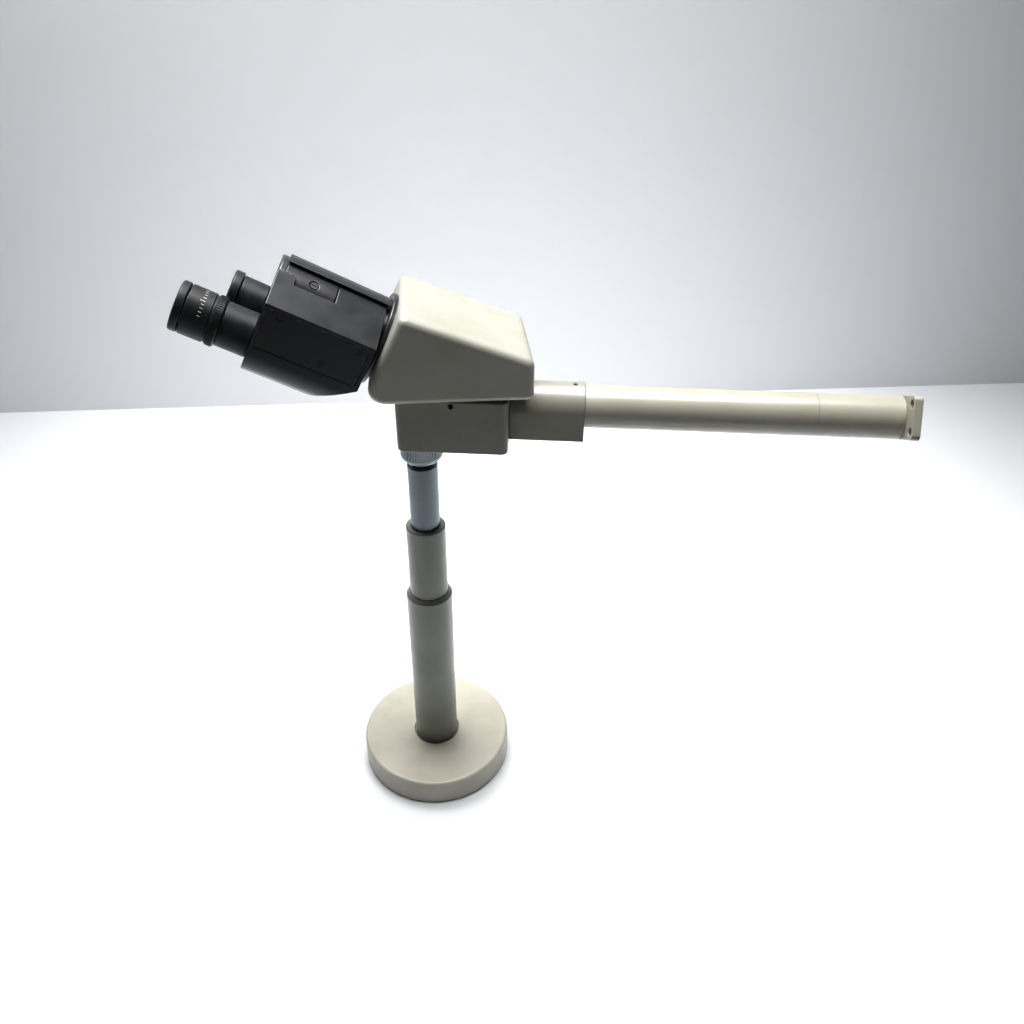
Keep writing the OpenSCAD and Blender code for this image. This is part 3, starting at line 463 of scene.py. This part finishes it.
# a knurled collar: every second strip of its grip is pressed in
GRIP_LOW, GRIP_HIGH = 343.0, 358.6
collar = lathe("knurled_collar", [(STUD_BORE_R, COLLAR_Z), (12.4, COLLAR_Z), (13.4, 337.6), (13.6, 338.4),
                                  (14.8, 340.0)]
               + quarter(0.8, COLLAR_R - 0.8, 341.2, 270, 360, 4)
               + [(COLLAR_R, GRIP_LOW), (COLLAR_R, GRIP_HIGH), (COLLAR_R, 361.0)]
               + quarter(1.0, 15.8, 362.2, 0, 90, 4) + [(STUD_BORE_R, COLLAR_TOP)], 144)
select_faces(collar, lambda c, n: GRIP_LOW + 0.2 < c.z < GRIP_HIGH - 0.2 and math.hypot(c.x, c.y) > 16
             and every_second_strip(c, 2.5))
bpy.ops.mesh.extrude_region_shrink_fatten(TRANSFORM_OT_shrink_fatten={"value": -0.00045})
put_down()
fit(collar, COLUMN, "collar", "collar_chrome", collar_chrome, "lock_collar")

# ---------------------------------------------------------------- block and arm
bridge_block = block("bridge_block", (BLOCK_BACK, -BLOCK_HALF_WIDTH, BLOCK_BOTTOM),
                     (BLOCK_FRONT, BLOCK_HALF_WIDTH, BLOCK_TOP))
select_edges(bridge_block, lambda a, b: abs(a.z - b.z) > 1)
bpy.ops.mesh.bevel(offset=CORNER_RADIUS * 0.001, segments=8, affect="EDGES")
select_faces(bridge_block, lambda c, n: n.z > 0.9)
bpy.ops.mesh.inset(thickness=BLOCK_WALL * 0.001)
bpy.ops.mesh.extrude_region_move(
    TRANSFORM_OT_translate={"value": mm(0, 0, BLOCK_FLOOR - (BLOCK_TOP - BLOCK_BOTTOM))})


def on_outer_rim(a, b):
    """Whether an edge of the block lies on its outer outline, at the top or the bottom."""
    level = a.z == b.z and (a.z < BLOCK_BOTTOM + 1 or a.z > BLOCK_TOP - 1)
    wide = max(abs(a.y), abs(b.y)) > BLOCK_HALF_WIDTH - CORNER_RADIUS - 0.1
    outside = (abs(a.y) > BLOCK_HALF_WIDTH - BLOCK_WALL + 0.5
               or a.x < BLOCK_BACK + 2.5 or a.x > BLOCK_FRONT - 2.5)
    return level and wide and outside


select_edges(bridge_block, on_outer_rim)
bpy.ops.mesh.bevel(offset=0.0009, segments=3, affect="EDGES")
put_down()
cut(bridge_block, drill(STUD_BORE_R, BLOCK_BOTTOM - 5, BLOCK_BOTTOM + 8))
lock_hole = drill(LOCK_HOLE_R, -BLOCK_HALF_WIDTH - 2, -BLOCK_HALF_WIDTH + 8)
lock_hole.matrix_world = (Matrix.Translation(mm(LOCK_HOLE_X, 0, BLOCK_TOP - LOCK_HOLE_DROP))
                          @ turned_about("X", -90))
cut(bridge_block, lock_hole)
fit(bridge_block, COLUMN, "bridge", "block_paint", block_enamel, "block_housing")
fit(softened_copy("arm_sleeve", "clamp_sleeve", 0.8), COLUMN, "bridge", "block_paint", block_enamel,
    "arm_sleeve")
fit(softened_copy("end_flange", "bolt_flange", 0.7), COLUMN, "arm_end", "arm_paint", arm_enamel,
    "end_flange")

# ---------------------------------------------------------------- head
# where the sloping face meets the underside and the roof, and how far the toe's rounding reaches back
face_lean = math.tan(math.radians(VIEW_TILT))
toe_x = -FACE_OUT - FACE_RISE * face_lean
ridge_x = -FACE_OUT + (RIDGE_H - FACE_RISE) * face_lean
roof = math.atan2(RIDGE_H - TAIL_H, BACK_X - ridge_x)
toe_run = TOE_RADIUS / math.tan(math.radians(90 - VIEW_TILT) / 2)
shell = block("head_shell", (toe_x, -HEAD_HALF_WIDTH, 0), (BACK_X, HEAD_HALF_WIDTH, RIDGE_H + 12))
edit(shell)
bpy.ops.mesh.select_all(action="SELECT")
bpy.ops.mesh.bisect(plane_co=mm(-FACE_OUT, 0, FACE_RISE),
                    plane_no=(-math.cos(math.radians(VIEW_TILT)), 0, math.sin(math.radians(VIEW_TILT))),
                    use_fill=True, clear_outer=True)
bpy.ops.mesh.select_all(action="SELECT")
bpy.ops.mesh.bisect(plane_co=mm(BACK_X, 0, TAIL_H), plane_no=(math.sin(roof), 0, math.cos(roof)),
                    use_fill=True, clear_outer=True)
bpy.ops.mesh.select_all(action="SELECT")
bpy.ops.mesh.remove_doubles(threshold=MERGE_GAP)
bpy.ops.mesh.normals_make_consistent(inside=False)
select_edges(shell, lambda a, b: max(a.z, b.z) < 0.1 and max(a.x, b.x) < toe_x + 0.1)
bpy.ops.mesh.bevel(offset=toe_run * 0.001, segments=8, affect="EDGES")
bpy.ops.mesh.select_all(action="DESELECT")
bpy.ops.mesh.select_mode(type="EDGE")
bpy.ops.mesh.edges_select_sharp(sharpness=math.radians(30))
bpy.ops.mesh.bevel(offset=HEAD_ROUNDING * 0.001, segments=8, affect="EDGES", clamp_overlap=True)
put_down()
casting = shell.modifiers.new("wall", "SOLIDIFY")
casting.thickness = HEAD_WALL * 0.001
casting.offset = -1
casting.use_even_offset = True
pick_up(shell)
bpy.ops.object.modifier_apply(modifier=casting.name)
cut(shell, block("cover opening", (toe_x + toe_run + 2, -HEAD_HALF_WIDTH + COVER_INSET, -1),
                 (BACK_X - COVER_INSET, HEAD_HALF_WIDTH - COVER_INSET, 5)))
bore = drill(SPIGOT_R + 0.05, -20, 12, steps=96)
bore.matrix_world = Matrix.Translation(mm(-FACE_OUT, 0, FACE_RISE)) @ turned_about("Y", VIEW_TILT - 90)
cut(shell, bore)
fit(shell, HEAD, "head", "head_paint", head_enamel, "head_housing")

# ---------------------------------------------------------------- binocular
ring = lathe("mounting_ring", [(SHAFT_BORE_R, SPIGOT_END), (SPIGOT_R, SPIGOT_END), (SPIGOT_R, 0),
                               (RING_R - 0.6, 0)]
             + quarter(0.6, 33.4, 0.6, -90, 0, 3) + quarter(0.9, 33.1, 2.3, 0, 90, 4)
             + [(26.2, RING_T), (SPIGOT_R, RING_T), (SPIGOT_R, 5), (SHAFT_BORE_R, 5)], 128)
fit(ring, OPTICAL, "head", "black_paint", black_enamel, "mount_ring")
cap = lathe("hinge_end_cap", [(SHAFT_BORE_R, CAP_START), (CAP_R, CAP_START), (CAP_R, CAP_END - 1.4)]
            + quarter(1.4, 25.6, CAP_END - 1.4, 0, 90, 5)
            + [(22.0, CAP_END), (21.6, CAP_END - 0.4), (9, CAP_END - 0.4), (8.6, CAP_END), (0, CAP_END),
               (0, CAP_END - 1), (SHAFT_BORE_R, CAP_END - 1)], 96)
fit(cap, OPTICAL, "head", "black_paint", black_enamel, "hinge_cap")
for side, part in (("right", "right_housing"), ("left", "left_housing")):
    fit(softened_copy(part, side + "_prism_housing", 0.7), COLUMN, side + "_half", "black_paint",
        black_enamel, part)
    fit(softened_copy(side + "_side_cover", side + "_cover_plate", 0.35, 2), COLUMN, side + "_half",
        "black_paint", black_enamel, side + "_side_cover")
fit(softened_copy("hinge_strip", "dust_strip", 0.4, 2), COLUMN, "head", "black_paint", black_enamel,
    "hinge_strip")

# ---------------------------------------------------------------- eyepieces
SLEEVE_BORE_R, NECK_END = 13.1, RIGHT_TUBE_END + 19.8
right_tube = lathe("right_eyepiece_tube", [(SLEEVE_BORE_R, BODY_LEN), (15.0, BODY_LEN),
                                           (TUBE_R, BODY_LEN + 0.6), (TUBE_R, RIGHT_TUBE_END - 1.2)]
                   + quarter(0.6, 15.0, RIGHT_TUBE_END - 0.6, 0, 90, 3)
                   + [(14.5, RIGHT_TUBE_END), (14.5, NECK_END), (SLEEVE_BORE_R, NECK_END)], 96)
fit(right_tube, RIGHT_EYE, "right_half", "black_anodised", black_anodising, "right_tube")
left_tube = lathe("left_eyepiece_tube", [(BARREL_BORE_R, BODY_LEN), (15.0, BODY_LEN),
                                         (TUBE_R, BODY_LEN + 0.6), (TUBE_R, LEFT_TUBE_END - 1.6)]
                  + quarter(0.8, 14.8, LEFT_TUBE_END - 0.8, 0, 90, 3)
                  + [(12.3, LEFT_TUBE_END), (BARREL_BORE_R, LEFT_TUBE_END - 0.6)], 96)
fit(left_tube, LEFT_EYE, "left_half", "black_anodised", black_anodising, "left_tube")

# the focus ring: a ribbed grip, a groove and a plain part that carries the marks
f0, f1 = RIGHT_TUBE_END + 0.3, RIGHT_TUBE_END + 23.8
focus = lathe("focus_grip_ring", [(FOCUS_BORE_R, f0), (16.5, f0), (FOCUS_GRIP_R, f0 + 0.9),
                                  (FOCUS_GRIP_R, f0 + 5.1), (16.5, f0 + 6.0), (16.2, f0 + 6.2),
                                  (16.2, f0 + 7.2), (16.5, f0 + 7.4), (FOCUS_R, f0 + 7.9),
                                  (FOCUS_R, f1 - 0.8)]
              + quarter(0.8, 16.2, f1 - 0.8, 0, 90, 4)
              + [(14.1, f1), (14.1, f1 - 3), (FOCUS_BORE_R, f1 - 3)], 120)
select_faces(focus, lambda c, n: f0 + 1.0 < c.z < f0 + 5.0 and math.hypot(c.x, c.y) > 17
             and every_second_strip(c, 3))
bpy.ops.mesh.extrude_region_shrink_fatten(TRANSFORM_OT_shrink_fatten={"value": -0.0004})
fit(focus, RIGHT_EYE, "focus", "black_anodised", black_anodising, "focus_ring")

# dioptre marks filled with white paint: nine ticks, the middle one longer
TICK_STEP, MIDDLE_TICK, TICK_START = 9, -34, f0 + 12.6
marks = []
for step in range(-4, 5):
    tall = 3.4 if step % 5 == 0 else 2.0
    tick = block("tick", (16.9, -0.2, TICK_START), (17.04, 0.2, TICK_START + tall))
    tick.matrix_world = turned_about("Z", TICK_STEP * step + MIDDLE_TICK)
    marks.append(tick)
put_down()
for tick in marks:
    tick.select_set(True)
bpy.context.view_layer.objects.active = marks[0]
bpy.ops.object.transform_apply(location=True, rotation=True, scale=True)
bpy.ops.object.join()
marks[0].name = "dioptre_marks"
soften(marks[0], 0.03, 1, 60)
fit(marks[0], RIGHT_EYE, "focus", "black_anodised", mark_paint)


def eye_head(name, start, length, place, body, node):
    """An eyepiece: a plain barrel, and a head with a rolled rim round its lens."""
    end = start + length
    head = lathe(name, [(10.4, start - 17), (11.3, start - 17), (11.6, start - 16.7), (11.6, start),
                        (16.3, start)]
                 + quarter(0.7, 16.4, start + 0.7, -90, 0, 3) + quarter(1.5, 15.6, end - 1.5, 0, 90, 6)
                 + [(14.2, end), (13.4, end - 0.5), (12.4, end - 0.9), (10.5, end - 2.4), (10.5, end - 5),
                    (10.4, end - 5)], 96)
    return fit(head, place, body, "black_anodised", black_anodising, node)


eye_head("right_eyepiece_head", RIGHT_EYE_START, 5.5, RIGHT_EYE, "right_eye", "right_eyepiece")
eye_head("left_eyepiece_head", LEFT_EYE_START, 6.5, LEFT_EYE, "left_eye", "left_eyepiece")

# ---------------------------------------------------------------- floor, wall, light and camera
put_down()
bpy.ops.mesh.primitive_plane_add(size=8, location=(0, -3.0, 0))
floor = bpy.context.object
floor.name = "table_top"
bpy.ops.mesh.primitive_plane_add(size=8, location=(0.073, 0.773, 4.0))
wall = bpy.context.object
wall.name = "pale_wall"
wall.rotation_euler = (math.radians(90), 0, math.radians(8.1))
for sheet, code in ((floor, "#D6D8DA"), (wall, "#EFF0F2")):
    matt, tree, shader, place = new_material(sheet.name + " matt paint")
    shader.inputs["Base Color"].default_value = srgb(code)
    shader.inputs["Roughness"].default_value = 0.8
    sheet.data.materials.append(matt)

world = bpy.data.worlds.new("soft daylight")
bpy.context.scene.world = world
world.use_nodes = True
world.node_tree.nodes["Background"].inputs[0].default_value = srgb("#F4F7FB")
world.node_tree.nodes["Background"].inputs[1].default_value = 0.08


def lamp(name, where, target, width, height, power, spread=180):
    """A soft box that points at a target. A spread under 180 degrees narrows its beam."""
    light = bpy.data.lights.new(name, "AREA")
    light.shape = "RECTANGLE"
    light.size, light.size_y = width, height
    light.energy = power
    light.spread = math.radians(spread)
    holder = bpy.data.objects.new(name, light)
    bpy.context.scene.collection.objects.link(holder)
    holder.location = where
    holder.rotation_euler = (Vector(target) - Vector(where)).to_track_quat("-Z", "Y").to_euler()


lamp("window behind", (-0.35, 0.60, 1.5), (0, 0, 0.30), 1.4, 0.5, 23)
lamp("ceiling panel", (0.1, 0.25, 1.9), (0.1, 0.25, 0.2), 1.1, 0.9, 11.5, 60)

camera = bpy.data.objects.new("camera", bpy.data.cameras.new("camera"))
bpy.context.scene.collection.objects.link(camera)
camera.data.sensor_width = 36
camera.data.lens = 30.36
camera.data.clip_start, camera.data.clip_end = 0.01, 50
CAMERA_DOWN, CAMERA_HEADING, CAMERA_ROLL = 34.61, 2.74, 0.79
camera.matrix_world = (Matrix.Translation((0.09945, -0.58015, 0.68978)) @ turned_about("Z", CAMERA_HEADING)
                       @ turned_about("X", 90 - CAMERA_DOWN) @ turned_about("Z", CAMERA_ROLL))
bpy.context.scene.camera = camera
bpy.context.scene.view_settings.view_transform = "Standard"
bpy.context.scene.view_settings.gamma = 0.85
